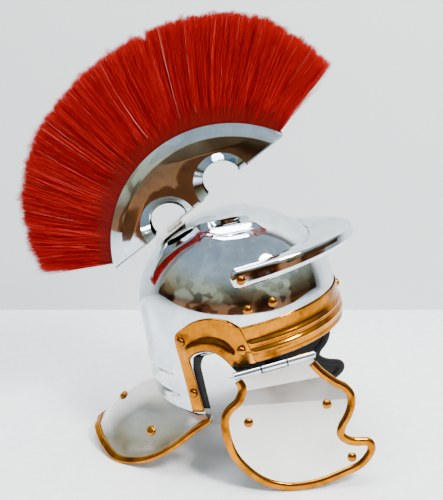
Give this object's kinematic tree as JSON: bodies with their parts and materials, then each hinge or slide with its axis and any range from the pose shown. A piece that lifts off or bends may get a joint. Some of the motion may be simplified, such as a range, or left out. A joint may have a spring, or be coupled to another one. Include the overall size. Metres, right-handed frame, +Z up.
{
  "type": "roman legionary helmet",
  "caption": "Roman legionary helmet: polished steel bowl with neck guard, visor and hinged cheek guards, brass trim, and a red bristle crest in a steel box.",
  "frame": {"origin": "on the floor below the middle of the whole helmet's box", "axes": "+X the way the face looks, +Y the wearer's left, +Z up, with the helmet leaning back on its neck guard and cheek guards as it stands"},
  "size_m": [0.3936, 0.252, 0.4994],
  "materials": {
    "polished_steel": "polished",
    "brass": "polished with brown patina",
    "red_bristle": "fine stiff bristle"
  },
  "bodies": {
    "helmet": {"bowl": "polished_steel", "brow_band": "brass", "brow_rivet": "brass", "crest_box": "polished_steel", "crest_bracket": "polished_steel", "dome_rivet_front_left": "brass", "dome_rivet_front_right": "brass", "dome_rivet_rear_left": "brass", "dome_rivet_rear_right": "brass", "ear_guard_left": "brass", "ear_guard_right": "brass", "ear_rivet_band_left": "brass", "ear_rivet_band_right": "brass", "ear_rivet_leg_left": "brass", "ear_rivet_leg_right": "brass", "ear_rivet_top_left": "brass", "ear_rivet_top_right": "brass", "hinge_leaf_left": "polished_steel", "hinge_leaf_right": "polished_steel", "hinge_pin_left": "polished_steel", "hinge_pin_right": "polished_steel", "neck_guard": "polished_steel", "neck_guard_piping": "brass", "neck_guard_rivet_left": "brass", "neck_guard_rivet_rear": "brass", "neck_guard_rivet_right": "brass", "plume": "red_bristle", "visor": "polished_steel", "visor_rivet_left": "brass", "visor_rivet_right": "brass"},
    "cheek_right": {"cheek_guard_right": "polished_steel", "cheek_piping_right": "brass", "cheek_rivet_chin_right": "brass", "cheek_rivet_front_right": "brass", "cheek_rivet_rear_right": "brass"},
    "cheek_left": {"cheek_guard_left": "polished_steel", "cheek_piping_left": "brass", "cheek_rivet_chin_left": "brass", "cheek_rivet_front_left": "brass", "cheek_rivet_rear_left": "brass"}
  },
  "joints": [
    {"name": "cheek_hinge_right", "type": "hinge", "parent": "helmet", "child": "cheek_right", "pos_m": [0.08335, -0.098, 0.1383], "axis": [-0.9635, -0.1392, -0.2286], "range_deg": [-30, 85]},
    {"name": "cheek_hinge_left", "type": "hinge", "parent": "helmet", "child": "cheek_left", "pos_m": [0.08335, 0.098, 0.1383], "axis": [0.9635, -0.1392, 0.2286], "range_deg": [-30, 85]}
  ]
}
